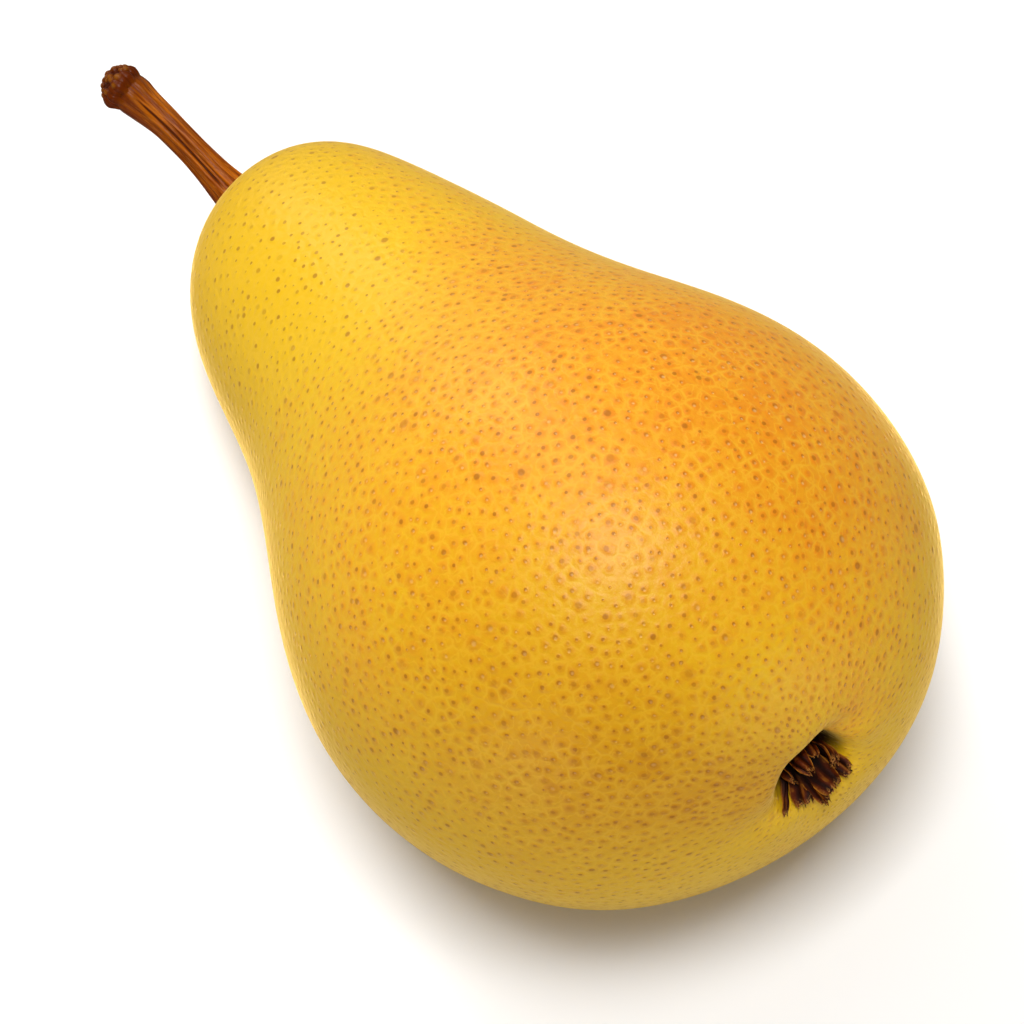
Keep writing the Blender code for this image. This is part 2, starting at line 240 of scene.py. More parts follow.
# Each groove: its way round the stem at mid length, how far it winds, its depth and half width, and the
# shares of the stem's length where it starts and ends
GROOVES = (
    (82, 14, 0.25, 0.16, 0.30, 0.80),
    (98, 26, 0.14, 0.09, 0.22, 0.62),
    (120, -6, 0.06, 0.12, 0.30, 1.05),
    (40, 10, 0.08, 0.14, 0.05, 0.55),
    (14, 12, 0.20, 0.22, 0.0, 1.0),
    (200, -10, 0.20, 0.18, 0.2, 0.9),
    (295, -8, 0.24, 0.20, 0.3, 1.1),
)
GROOVE_FADE = 0.12

# The stem's free end: lobes round its rim and nodules inside them
KNOB_SEED = 4
KNOB_RIM_BUMPS = 17
KNOB_BUMPS = 30
KNOB_BUMP_SIZES = (0.50 * MM, 0.78 * MM)
KNOB_NODULE_SIZES = (0.34 * MM, 0.58 * MM)
KNOB_RIM_RISE = 0.1
KNOB_RIM_RISE_SPREAD = 0.14
KNOB_RIM_TURN_SPREAD = 0.3
KNOB_TURN_SPREAD = 0.4
KNOB_COVERED = 0.72
KNOB_NODULE_FADE = 0.7
KNOB_RIM_LENGTHENING = 0.55
KNOB_BUMP_SINK = 0.26 * MM
KNOB_GAP_DEPTH = 0.26 * MM
KNOB_BLEND = 0.06 * MM
KNOB_REACH = 1.9 * MM
KNOB_FADE = 2.0 * MM
KNOB_TOP = 0.45 * MM

# Where the stem is darker: at its free end, at its root, and on one side as painted shade
KNOB_DARK_REACH = 3.6 * MM
ROOT_DARK_REACH = 6.5 * MM
ROOT_DARK_SHARE = 0.5
STEM_PAINTED_LIGHT_WAY = math.radians(135)

# Colours of the stem
BARK = (0.43, 0.110, 0.001)
BARK_DEEP = (0.17, 0.030, 0.0006)
# The groove colour is painted shade, laid in the grooves by their depth and between the knob's bumps
BARK_GROOVE_SHADE = (0.055, 0.008, 0.001)
BARK_DARK_AND_SHADE = (0.10, 0.015, 0.0004)
BARK_PALE = (0.66, 0.25, 0.03)
KNOB_RIM = (0.10, 0.015, 0.0003)
KNOB_NODULE = (0.20, 0.060, 0.003)

# How the bark's colours lie
BARK_DETAIL = 3.0
BARK_FINER = 3.0
BARK_FINE_ROUGHNESS = 0.6
BARK_BROAD_RANGE = (0.35, 0.65)
BARK_PALE_RANGE = (0.52, 0.75)
BARK_PALE_SHARE = 0.5
BARK_DARK_AND_SHADE_SHARE = 0.85
GROOVE_SHADE_RANGE = (0.02, 0.2)
KNOB_TOP_RANGE = (0.1, 0.9)
KNOB_RANGE = (0.3, 0.9)
BARK_FINE_HEIGHT = 0.05
BARK_ROUGHNESS = 0.3
BARK_SPECULAR = 0.10

# The dried calyx: its base, as shares of its radius and height, and the size of its sepals
CALYX_SEED = 9
CALYX_GAP = 0.45 * MM
CALYX_BASE_RADIUS = 2.0 * MM
CALYX_BASE_HEIGHT = 1.2 * MM
CALYX_BASE_PROFILE = ((0.9, 0.0), (1.0, 0.5), (0.75, 1.0), (0.3, 1.3))
CALYX_BASE_SIDES = 96
SEPAL_ROOT_RADIUS = 1.45 * MM
SEPAL_THICKNESS = 0.24 * MM
SEPAL_ROWS = 90
SEPAL_COLUMNS = 40

# Each sepal: the way it points, how far out its tip is, the tip's height above the blossom end, its half
# width, how far it arches off the straight line, how deeply it folds, how pointed it is (0 blunt, 1 sharp),
# how far its tip leans round, and how far the tip curls in to the middle, which also lifts it off the basin
SEPALS = (
    (339, 6.3, 1.0, 0.65, 0.2, 0.2, 0.2, 0, 0.3),
    (306, 5.4, 1.3, 1.45, 0.7, 0.3, 0.0, 2, 0.4),
    (284, 6.2, 0.5, 1.15, 0.6, 0.5, 0.45, -2, 0.3),
    (262, 5.5, 0.9, 1.45, 0.7, 0.5, 0.1, 3, 0.6),
    (233, 6.0, 1.2, 1.1, 0.4, 0.4, 0.1, 0, 1.0),
    (200, 4.4, 2.1, 1.1, 0.0, 0.4, 0.2, 30, 0.4),
    (166, 3.0, 1.6, 1.15, -0.5, 0.5, 0.3, 34, 0.5),
    (125, 2.4, 2.3, 0.95, -0.3, 0.5, 0.3, 6, 0.3),
    (82, 2.4, 1.5, 1.05, -0.5, 0.5, 0.3, -5, 0.9),
    (12, 3.2, 2.6, 1.4, -0.3, 0.4, 0.0, -14, 0.6),
)

# The form that all sepals share. Places along a sepal are 0 at its root and 1 at its tip, and places across
# it are 0 at its middle and 1 at its edges
SEPAL_RIDGES = 2.2
SEPAL_RIDGE_WANDER = 2
SEPAL_RIDGE_WANDER_CLOSENESS = 3
SEPAL_RIDGE_HEIGHT = 0.15 * MM
SEPAL_RIDGE_GROWTH = 2
SEPAL_RUFFLE = 0.30 * MM
SEPAL_RUFFLE_CLOSENESS = (4, 1.5)
SEPAL_RUFFLE_LIFT = 0.5
SEPAL_RAGGED = 0.07
SEPAL_RAGGED_CLOSENESS = 5
SEPAL_FLARE = 1.25
SEPAL_ROOT_WIDTH = 0.62
SEPAL_SWELL = 0.6
SEPAL_SWELL_LENGTH = 0.72
SEPAL_TAPER_FROM = 0.45
SEPAL_TAPER_LENGTH = 0.55
SEPAL_TAPER_CURVE = 1.5
SEPAL_TIP_NARROWING = 0.4
SEPAL_TIP_SQUARENESS = 14
SEPAL_FOLD_CURVE = 1.6
SEPAL_FOLD_GROWTH = 1.2
SEPAL_ROLL = 0.30 * MM
SEPAL_ROLL_FROM = 0.72
SEPAL_ROLL_WIDTH = 0.28
SEPAL_CURL_FROM = 0.7
SEPAL_CURL_LENGTH = 0.3
SEPAL_CURL_LIFT = 0.7
SEPAL_CLEAR = 0.1 * MM
SEPAL_CLEAR_SHARE = 0.6
SLOPE_STEP = 0.05 * MM
SHEET_EDGE_THINNING = 0.75
SHEET_EDGE_CURVE = 6
SHEET_TIP_THINNING = 0.7
SHEET_TIP_CURVE = 8

# Colours of the calyx
# The root colour is painted shade, deep in the basin between the sepals
SEPAL_ROOT_SHADE = (0.006, 0.0015, 0.0005)
# The dark colour fills random patches and, as painted shade, the valleys between the ridges
SEPAL_DARK_AND_SHADE = (0.014, 0.002, 0.0005)
SEPAL_BROWN = (0.085, 0.012, 0.0006)
SEPAL_EDGE = (0.42, 0.15, 0.010)
SEPAL_FRAYED = (0.36, 0.15, 0.03)

# How the calyx's colours lie, with steps of noise in millimetres
SEPAL_BROAD_STEP = 1.1
SEPAL_FINE_STEP = 0.22
SEPAL_DETAIL = 3.0
SEPAL_FINE_ROUGHNESS = 0.6
SEPAL_BROAD_RANGE = (0.2, 0.8)
SEPAL_RIDGE_RANGE = (-0.6, 1.6)
SEPAL_CREST_RANGE = (0.8, 1.0)
SEPAL_CREST_PATCHES = (0.45, 0.6)
SEPAL_CREST_SHARE = 0.25
SEPAL_ROOT_SHADE_RANGE = (0.4, 0.85)
SEPAL_EDGE_RANGE = (0.9, 0.99)
SEPAL_EDGE_FROM_ROOT = (0.3, 0.7)
SEPAL_EDGE_PATCHES = (0.32, 0.5)
SEPAL_FRAYED_RANGE = (0.9, 1.0)
SEPAL_FRAYED_PATCHES = (0.48, 0.58)
SEPAL_FINE_HEIGHT = 0.07
SEPAL_ROUGHNESS = 0.5
SEPAL_SPECULAR = 0.08

# The camera stands where the photograph was taken from
CAMERA_PLACE = Vector((0.11265, -0.07871, 0.57966))
CAMERA_TURN = Euler((math.radians(12.893), math.radians(0.017), math.radians(52.54)))
CAMERA_LENS = 170.0
CAMERA_SENSOR = 36.0
CAMERA_NEAR = 0.01

# The studio. Each softbox: its name, its azimuth from +X and elevation in degrees, its width and height in
# metres, and its power in watts
WORLD_STRENGTH = 0.125
LIT_PLACE = Vector((0.01, 0.0, 0.03))
SOFTBOX_DISTANCE = 2.0
SOFTBOXES = (
    ("softbox_overhead", 188, 87, 0.6, 0.6, 35.5),
    ("softbox_left", -60, 11, 0.8, 0.4, 5.2),
    ("strip_low", 172, 14, 0.33, 1.0, 10.0),
    ("strip_middle", 172, 42, 0.33, 1.0, 7.4),
    ("strip_high", 172, 66, 0.33, 0.66, 2.2),
    ("softbox_back", 142, 45, 1.2, 1.2, 3.9),
    ("softbox_right", 12, 7, 0.8, 0.4, 5.0),
)
FLOOR_WHITE = (0.9, 0.9, 0.9, 1)
FLOOR_ROUGHNESS = 0.9
FLOOR_HALF_SIZE = 3.0
FLOOR_GAP = 0.02 * MM


def smooth_through(stations, where):
    """The values at an array of places on the smooth line through (place, value) stations."""
    places, values = (np.array(column) for column in zip(*stations))
    gaps = np.diff(places)
    slopes = np.diff(values) / gaps
    lean = (slopes[:-1] * gaps[1:] + slopes[1:] * gaps[:-1]) / (gaps[1:] + gaps[:-1])
    first, last = 1.5 * slopes[0] - 0.5 * lean[0], 1.5 * slopes[-1] - 0.5 * lean[-1]
    lean = np.concatenate(([first], lean, [last]))
    where = np.clip(where, places[0], places[-1])
    k = np.clip(np.searchsorted(places, where, side="right") - 1, 0, len(gaps) - 1)
    t = (where - places[k]) / gaps[k]
    start = (2 * t**3 - 3 * t**2 + 1) * values[k] + (t**3 - 2 * t**2 + t) * gaps[k] * lean[k]
    end = (3 * t**2 - 2 * t**3) * values[k + 1] + (t**3 - t**2) * gaps[k] * lean[k + 1]
    return start + end


def bezier(ends_and_handles, count):
    a, b, c, d = (np.array(point)[None, :] for point in ends_and_handles)
    t = np.linspace(0, 1, count, endpoint=False)[:, None]
    return a * (1 - t) ** 3 + b * 3 * t * (1 - t) ** 2 + c * 3 * t * t * (1 - t) + d * t**3


def outline():
    """The turned outline as rows of (radius, height), from the stem end down to the blossom end."""
    along_neck = np.array((math.cos(NECK_SLOPE), -math.sin(NECK_SLOPE)))
    neck = np.array((NECK_RADIUS, NECK_HEIGHT))
    belly = np.array((BELLY_RADIUS, BELLY_HEIGHT))
    stem_end = (0.0, FRUIT_LENGTH)
    blossom_end = (0.0, 0.0)
    cap = (stem_end, (STEM_END_ROUNDING, FRUIT_LENGTH), neck - along_neck * NECK_HANDLE_UP, neck)
    waist = (neck, neck + along_neck * NECK_HANDLE_DOWN, belly + (0, BELLY_HANDLE_UP), belly)
    base = (belly, belly - (0, BELLY_HANDLE_DOWN), (BLOSSOM_END_ROUNDING, 0.0), blossom_end)
    rows = [bezier(curve, CURVE_SAMPLES) for curve in (cap, waist, base)]
    return np.concatenate((*rows, [blossom_end]))


def spaced_outline():
    """The outline at the rings of the skin's mesh, both ends included."""
    rows = outline()
    steps = np.hypot(*np.diff(rows, axis=0).T)
    along = np.concatenate(([0], np.cumsum(steps)))
    from_end = np.minimum(along, along[-1] - along)
    weight = 1 + END_CLOSENESS * np.exp(-((from_end / END_REACH) ** 2))
    share = np.concatenate(([0], np.cumsum(steps * (weight[1:] + weight[:-1]) / 2)))
    wanted = np.linspace(0, share[-1], SKIN_RINGS + 1)
    return np.interp(wanted, share, rows[:, 0]), np.interp(wanted, share, rows[:, 1])


def basin_dent(radius):
    funnel = BASIN_DEPTH / (1 + (radius / BASIN_RADIUS) ** BASIN_STEEPNESS)
    return funnel + SHOULDER_DEPTH * np.exp(-((radius / SHOULDER_RADIUS) ** 2))


def fruit_surface(radius, turn, height):
    """Points of the fruit in its own frame, from places on the plain turned outline."""
    x, y, z = radius * np.cos(turn), radius * np.sin(turn), height.copy()
    off_middle = x - BASIN_SIDEWAYS
    from_basin = np.hypot(off_middle, y)
    around = np.arctan2(y, off_middle)
    furrow = FURROW_DEPTH * np.exp(-(((from_basin - FURROW_RADIUS) / FURROW_WIDTH) ** 2))
    dent = basin_dent(from_basin) + furrow * np.cos(FURROW_COUNT * around)
    from_notch = np.angle(np.exp(1j * (around - NOTCH_WAY))) / NOTCH_WIDTH
    dent += NOTCH_DEPTH * np.exp(-(((from_basin - NOTCH_RADIUS) / NOTCH_REACH) ** 2) - from_notch**2)
    z += np.where(height < BELLY_HEIGHT / 2, dent, 0)
    x += smooth_through(MIDDLE_LINE, height)
    from_stem = np.hypot(x - STEM_ENTRY[0], y - STEM_ENTRY[1])
    dimple = STEM_DIMPLE_DEPTH * np.exp(-((from_stem / STEM_DIMPLE_RADIUS) ** 2))
    z -= np.where(height > NECK_HEIGHT, dimple, 0)
    return np.stack((x, y, z), axis=-1)


def grid_faces(rings, sides):
    """Quads between rings of points, and a fan to the single point at each end."""
    faces = [(0, 1 + k, 1 + (k + 1) % sides) for k in range(sides)]
    for ring in range(rings - 2):
        base = 1 + ring * sides
        for k in range(sides):
            after = (k + 1) % sides
            faces.append((base + k, base + sides + k, base + sides + after, base + after))
    base, end = 1 + (rings - 2) * sides, 1 + (rings - 1) * sides
    faces += [(base + k, end, base + (k + 1) % sides) for k in range(sides)]
    return faces


def laid_down(points):
    """The matrix from the fruit's own frame to the row frame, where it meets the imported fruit's box."""
    turn = Euler((0.0, -math.pi / 2 - REST_TILT, REST_TURN), "ZYX").to_matrix()
    laid = points @ np.array(turn).T
    low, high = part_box("pear_body")
    place = Vector(
        (
            high.x - laid[:, 0].max(),
            (low.y + high.y - laid[:, 1].min() - laid[:, 1].max()) / 2,
            high.z - laid[:, 2].max(),
        )
    )
    return Matrix.Translation(place) @ turn.to_4x4()


def moved(points, matrix):
    turn = np.array(matrix.to_3x3())
    return points @ turn.T + np.array(matrix.translation)


class Material:
    """A node material, built by short calls. Each call gives back the socket that it made."""

    def __init__(self, name):
        self.made = bpy.data.materials.new(name)
        self.made.use_nodes = True
        self.tree = self.made.node_tree
        self.shader = self.tree.nodes["Principled BSDF"]

    def put(self, socket, value):
        if isinstance(value, bpy.types.NodeSocket):
            self.tree.links.new(value, socket)
        elif isinstance(value, tuple) and len(value) == 3 and socket.type == "RGBA":
            socket.default_value = (*value, 1.0)
        else:
            socket.default_value = value

    def node(self, kind, inputs, output=0, **settings):
        made = self.tree.nodes.new("ShaderNode" + kind)
        for name, value in settings.items():
            setattr(made, name, value)
        for where, value in inputs.items():
            self.put(made.inputs[where], value)
        return made.outputs[output]

    def attribute(self, name, output="Fac"):
        return self.node("Attribute", {}, output, attribute_name=name)

    def math(self, operation, *values):
        return self.node("Math", dict(enumerate(values)), operation=operation)

    def length(self, vector):
        return self.node("VectorMath", {0: vector}, "Value", operation="LENGTH")

    def add(self, first, second):
        return self.node("VectorMath", {0: first, 1: second}, operation="ADD")

    def subtract(self, first, second):
        return self.node("VectorMath", {0: first, 1: second}, operation="SUBTRACT")

    def ramp(self, value, low, high):
        return self.node("MapRange", {"Value": value, "From Min": low, "From Max": high})

    def rise(self, value, low, high, start=0.0, end=1.0):
        """Goes smoothly from start to end as the value goes from low to high."""
        inputs = {"Value": value, "From Min": low, "From Max": high, "To Min": start, "To Max": end}
        return self.node("MapRange", inputs, interpolation_type="SMOOTHSTEP")

    def mix(self, share, first, second):
        return self.node("Mix", {"Factor": share, 6: first, 7: second}, 2, data_type="RGBA")

    def place(self, millimetres):
        """The place on the object, counted in steps of so many millimetres."""
        coordinates = self.node("TexCoord", {}, "Object")
        scale = 1 / (millimetres * MM)
        return self.node("VectorMath", {0: coordinates, 3: scale}, operation="SCALE")

    def noise(self, place, detail, roughness=0.5):
        inputs = {"Vector": place, "Scale": 1.0, "Detail": detail, "Roughness": roughness}
        return self.node("TexNoise", inputs, "Fac")

    def bump(self, millimetres):
        return self.node("Bump", {"Height": millimetres, "Distance": MM, "Strength": 1.0})

    def finish(self, **inputs):
        for name, value in inputs.items():
            self.put(self.shader.inputs[name.replace("_", " ")], value)
        return self.made


def write_attribute(mesh, name, values, kind="FLOAT", domain="POINT"):
    made = mesh.attributes.new(name, kind, domain)
    field = "vector" if kind == "FLOAT_VECTOR" else "value"
    made.data.foreach_set(field, np.ascontiguousarray(values, np.float32).ravel())


def show(name, points, faces, node, material):
    """A piece of the pear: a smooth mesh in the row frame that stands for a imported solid."""
    mesh = bpy.data.meshes.new(name)
    mesh.from_pydata(points.tolist(), [], faces)
    mesh.shade_smooth()
    mesh.materials.append(material)
    piece = bpy.data.objects.new(name, mesh)
    bpy.context.scene.collection.objects.link(piece)
    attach(piece, "root")
    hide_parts(node)
    return piece


def zones(own, turn, listed):
    """The sum of soft round zones, each about a height and a way round the fruit."""
    total = np.zeros(len(own))
    for height, way, along, around, strength in listed:
        off = np.angle(np.exp(1j * (turn - math.radians(way)))) / math.radians(around)
        up = (own[:, 2] - height * MM) / (along * MM)
        total += strength * np.exp(-(up**2) - off**2)
    return total


def scatter_on(points, faces, tries, draw):
    """Random places on the faces, evenly by area."""
    quads = np.array([face if len(face) == 4 else (*face, face[2]) for face in faces])
    corners = points[quads]
    across, along = corners[:, 2] - corners[:, 0], corners[:, 3] - corners[:, 1]
    area = np.linalg.norm(np.cross(across, along), axis=1)
    chosen = draw.choice(len(quads), tries, p=area / area.sum())
    u, v = draw.random((2, tries, 1))
    a, b, c, d = (corners[chosen, k] for k in range(4))
    return (a * (1 - u) + b * u) * (1 - v) + (d * (1 - u) + c * u) * v


def keep_apart(places, gaps, taken=()):
    """The indices of the places that stay further from every place kept before them than their own gap."""
    size = float(max(gaps))
    boxes = {}
    for place in taken:
        boxes.setdefault(tuple((place // size).astype(int)), []).append(place.tolist())
    kept = []
    for k, (place, gap) in enumerate(zip(places.tolist(), gaps.tolist())):
        x, y, z = (int(math.floor(value / size)) for value in place)
        near = (
            other
            for i in (x - 1, x, x + 1)
            for j in (y - 1, y, y + 1)
            for m in (z - 1, z, z + 1)
            for other in boxes.get((i, j, m), ())
        )
        if all(math.dist(place, other) >= gap for other in near):
            kept.append(k)
            boxes.setdefault((x, y, z), []).append(place)
    return np.array(kept)


def tree_of(places):
    made = kdtree.KDTree(len(places))
    for k, place in enumerate(places):
        made.insert(place, k)
    made.balance()
    return made


def nearest(tree, places, count):
    """For each place, the indices of the nearest points of a tree."""
    return np.array([[found[1] for found in tree.find_n(place, count)] for place in places])


def basin_nearness(own, reach):
    middle = np.array((smooth_through(MIDDLE_LINE, np.zeros(1))[0] + BASIN_SIDEWAYS, 0.0, 0.0))
    return np.exp(-((np.linalg.norm(own - middle, axis=1) / reach) ** 2))


def seed_pores(own, faces):
    """The middles of the skin's cells, and all its pores: one in each cell and more where a cell has room."""
    draw = np.random.default_rng(PORE_SEED)
    places = scatter_on(own, faces, CELL_TRIES, draw)
    crowding = 1 - BASIN_CROWDING * basin_nearness(places, BASIN_PORE_REACH)
    cells = places[keep_apart(places, CELL_SPACING * crowding * draw.uniform(*CELL_GAPS, CELL_TRIES))]
    places = scatter_on(own, faces, PORE_TRIES, draw)
    two = nearest(tree_of(cells), places, 2)
    reach = np.linalg.norm(places[:, None] - cells[two], axis=2)
    places = places[reach[:, 1] - reach[:, 0] > PORE_FROM_EDGE]
    crowding = 1 - BASIN_CROWDING * basin_nearness(places, BASIN_PORE_REACH)
    gaps = PORE_SPACING * crowding * draw.uniform(*PORE_GAPS, len(places))
    more = places[keep_apart(places, gaps, cells)]
    return cells, np.concatenate((cells, more)), draw


def wandering(own, step, size, seed):
    """A soft shift of each place, in millimetres."""
    return size * np.stack([noise_at(own / step, 3 * seed + k) for k in range(3)], axis=1)


def corners_of(mesh):
    """For every face corner, its vertex and its face, and for every face, how many corners it has."""
    owner = np.empty(len(mesh.loops), int)
    mesh.loops.foreach_get("vertex_index", owner)
    count = np.empty(len(mesh.polygons), int)
    mesh.polygons.foreach_get("loop_total", count)
    return owner, np.repeat(np.arange(len(count)), count), count


def write_pattern(mesh, own, cells, pores, draw):
    """Gives every face corner the way to the nearest cells and pores, so that the pattern stays sharp."""
    for_cells = own / MM + wandering(own, CELL_WARP_STEP, CELL_WARP, 1)
    for_pores = own / MM + wandering(own, PORE_WARP_STEP, PORE_WARP, 2)
    # The lean sets each pore's dark ring and pale middle apart: painted shade and a painted highlight
    lean = wandering(own, SHADE_LEAN_STEP, SHADE_LEAN_SIZE, 3) - (0.0, 0.0, PORE_SHADE_SHIFT)
    write_attribute(mesh, "lean", lean, "FLOAT_VECTOR")
    mottle = noise_at(own / MOTTLE_STEP, 4) + 0.5 * noise_at(own / MOTTLE_FINER_STEP, 5)
    write_attribute(mesh, "mottle", mottle)
    write_attribute(mesh, "broken", noise_at(own / BROKEN_STEP, 6))

    owner, face_of, count = corners_of(mesh)
    corner = own[owner]
    middle = np.stack([np.bincount(face_of, corner[:, k]) / count for k in range(3)], axis=1)
    found = nearest(tree_of(cells), middle, CELLS_READ)
    for k in range(CELLS_READ):
        way = for_cells[owner] - cells[found[face_of, k]] / MM
        write_attribute(mesh, f"to_cell_{k}", way, "FLOAT_VECTOR", "CORNER")

    size = np.exp(draw.normal(PORE_LOG_SIZE, PORE_LOG_SPREAD, len(pores)))
    mark = draw.uniform(*PORE_MARKS, len(pores))
    kind = draw.random(len(pores))
    near = basin_nearness(pores, BASIN_PORE_REACH)
    size *= 1 - BASIN_CROWDING * near
    from_middle_line = pores[:, 0] - smooth_through(MIDDLE_LINE, pores[:, 2])
    around = np.stack((-pores[:, 1], from_middle_line, 0 * near), axis=1)
    around /= np.maximum(np.linalg.norm(around, axis=1, keepdims=True), 1e-9)
    found = nearest(tree_of(pores), middle, PORES_READ)
    for k in range(PORES_READ):
        one = found[face_of, k]
        way = (for_pores[owner] - pores[one] / MM) / size[one, None]
        across = (way * around[one]).sum(1, keepdims=True) * around[one]
        stretch = 1 + BASIN_PORE_STRETCH * near[one, None]
        write_attribute(mesh, f"to_pore_{k}", across + (way - across) / stretch, "FLOAT_VECTOR", "CORNER")
        write_attribute(mesh, f"pore_mark_{k}", mark[one], domain="CORNER")
        write_attribute(mesh, f"pore_kind_{k}", kind[one], domain="CORNER")


def distance_from_edge(skin):
    """How much further the second nearest cell is than the nearest: 0 on the lines between cells."""
    ways = [skin.attribute(f"to_cell_{k}", "Vector") for k in range(CELLS_READ)]
    cell_0, cell_1, cell_2 = (skin.length(way) for way in ways)
    near = skin.math("MINIMUM", cell_0, cell_1)
    far = skin.math("MAXIMUM", cell_0, cell_1)
    first = skin.math("MINIMUM", near, cell_2)
    second = skin.math("MAXIMUM", near, skin.math("MINIMUM", far, cell_2))
    return skin.math("SUBTRACT", second, first)


def pore_marks(skin):
    """Each pore's ring, leant aside as painted shade, its pale middle, leant the other way as a painted
    highlight, and the nearest pore's distance.
    """
    lean = skin.attribute("lean", "Vector")
    ring, middle, reaches = [], [], []
    for k in range(PORES_READ):
        way = skin.attribute(f"to_pore_{k}", "Vector")
        mark, kind = skin.attribute(f"pore_mark_{k}"), skin.attribute(f"pore_kind_{k}")
        reaches.append(skin.length(way))
        # The ring is pushed one way as painted shade, the middle the other way as a painted highlight
        dark = skin.rise(skin.length(skin.add(way, lean)), *PORE_DARK_RANGE, 1.0, 0.0)
        ring.append(skin.math("MULTIPLY", dark, mark))
        opening = skin.rise(skin.length(skin.subtract(way, lean)), *PORE_OPEN_RANGE, 1.0, 0.0)
        middle.append(skin.math("MULTIPLY", opening, skin.rise(kind, *PORE_OPEN_KINDS)))
    return (
        skin.math("MAXIMUM", *ring),
        skin.math("MAXIMUM", *middle),
        skin.math("MINIMUM", *reaches),
    )


def skin_material():
    skin = Material("pear_skin")
    blush, gold, green = (skin.attribute(name) for name in ("blush", "gold", "green"))
    from_edge = distance_from_edge(skin)
    broken = skin.rise(skin.attribute("broken"), -NET_BREAK, NET_BREAK)
    net = skin.math("MULTIPLY", skin.rise(from_edge, 0.0, NET_REACH, 1.0, 0.0), broken)
    ring, middle, nearest_pore = pore_marks(skin)
    halo = skin.rise(nearest_pore, *PORE_HALO_RANGE, 1.0, 0.0)

    fine = skin.math("SUBTRACT", skin.noise(skin.place(FINE_STEP), FINE_DETAIL, FINE_ROUGHNESS), 0.5)
    wavy = skin.noise(skin.place(CREASE_STEP), CREASE_DETAIL, CREASE_ROUGHNESS)
    wavy = skin.math("SUBTRACT", wavy, 0.5)
    crease = skin.rise(skin.math("ABSOLUTE", wavy), 0.0, CREASE_WIDTH, 1.0, 0.0)
    reddening = skin.math("MULTIPLY_ADD", skin.attribute("mottle"), MOTTLE_REDDENING, blush)
    reddening = skin.math("MULTIPLY_ADD", fine, FINE_REDDENING, reddening)
    halo_share = skin.math("MULTIPLY_ADD", blush, *HALO_SHARES)
    swell = skin.math("MULTIPLY", skin.math("SUBTRACT", halo, HALO_LEVEL), halo_share)
    reddening = skin.math("ADD", reddening, swell)
    colour = skin.mix(skin.ramp(reddening, *ORANGE_RANGE), YELLOW, ORANGE)
    colour = skin.mix(skin.ramp(reddening, *BLUSH_RANGE), colour, DEEP_BLUSH)
    gold_share = skin.rise(halo, 0.0, 1.0, *GOLD_SHARES)
    colour = skin.mix(skin.math("MULTIPLY", gold, gold_share), colour, GOLD)
    colour = skin.mix(green, colour, GREEN)
    lines = skin.math("MAXIMUM", net, skin.math("MULTIPLY", crease, CREASE_SHARE))
    line_share = skin.math("MULTIPLY_ADD", blush, *NET_SHARES)
    colour = skin.mix(skin.math("MULTIPLY", lines, line_share), colour, PALE_NET)
    colour = skin.mix(skin.math("MULTIPLY", ring, PORE_RING_SHARE), colour, PORE_RING)
    middle_share = skin.math("MULTIPLY_ADD", blush, *PORE_MIDDLE_SHARES)
    colour = skin.mix(skin.math("MULTIPLY", middle, middle_share), colour, PORE_MIDDLE)
    # Painted shade: the inside of the basin goes dark brown
    colour = skin.mix(skin.attribute("hollow_shade"), colour, HOLLOW_SHADE)

    pebble = skin.math("MULTIPLY", skin.rise(from_edge, 0.0, PEBBLE_REACH), PEBBLE_HEIGHT)
    dome = skin.math("MULTIPLY", skin.rise(nearest_pore, *PORE_DOME_RANGE, 1.0, 0.0), PORE_DOME_HEIGHT)
    pit = skin.math("MULTIPLY", middle, PORE_PIT_HEIGHT)
    height = skin.math("ADD", skin.math("ADD", pebble, dome), pit)
    height = skin.math("MULTIPLY_ADD", fine, FINE_HEIGHT, height)
    return skin.finish(
        Base_Color=colour,
        Roughness=SKIN_ROUGHNESS,
        Normal=skin.bump(height),
        Specular_IOR_Level=SKIN_SPECULAR,
        Sheen_Weight=SKIN_SHEEN_WEIGHT,
        Sheen_Roughness=SKIN_SHEEN_ROUGHNESS,
        Sheen_Tint=SKIN_SHEEN,
    )


def make_body():
    """Makes the skin and gives back the matrix that lays the fruit down."""
    radius, height = spaced_outline()
    turn = np.linspace(0, 2 * math.pi, SKIN_SIDES, endpoint=False)
    ring_radius = np.repeat(radius[1:-1], SKIN_SIDES)
    ring_height = np.repeat(height[1:-1], SKIN_SIDES)
    rings = fruit_surface(ring_radius, np.tile(turn, SKIN_RINGS - 1), ring_height)
    ends = fruit_surface(np.zeros(2), np.zeros(2), height[[0, -1]])
    own = np.concatenate((ends[:1], rings, ends[1:]))
    place = laid_down(own)
    points = moved(own, place)
    points[:, 2] = np.maximum(points[:, 2], 0.0)
    faces = grid_faces(SKIN_RINGS, SKIN_SIDES)
    mesh = show("fruit_skin", points, faces, "pear_body", skin_material()).data

    around = np.arctan2(own[:, 1], own[:, 0] - smooth_through(MIDDLE_LINE, own[:, 2]))
    write_attribute(mesh, "blush", zones(own, around, BLUSH_ZONES))
    write_attribute(mesh, "gold", zones(own, around, GOLD_ZONES))
    write_attribute(mesh, "green", zones(own, around, GREEN_ZONES))
    # Painted shade inside the basin, from near its rim inward
    to_basin = np.linalg.norm(own[:, :2] - own[-1, :2], axis=1)
    hollow_shade = np.clip((HOLLOW_SHADE_EDGE - to_basin) / HOLLOW_SHADE_FADE, 0, 1) * (own[:, 2] < BELLY_HEIGHT / 2)
    write_attribute(mesh, "hollow_shade", hollow_shade)
    cells, pores, draw = seed_pores(own, faces)
    write_pattern(mesh, own, cells, pores, draw)
    return place


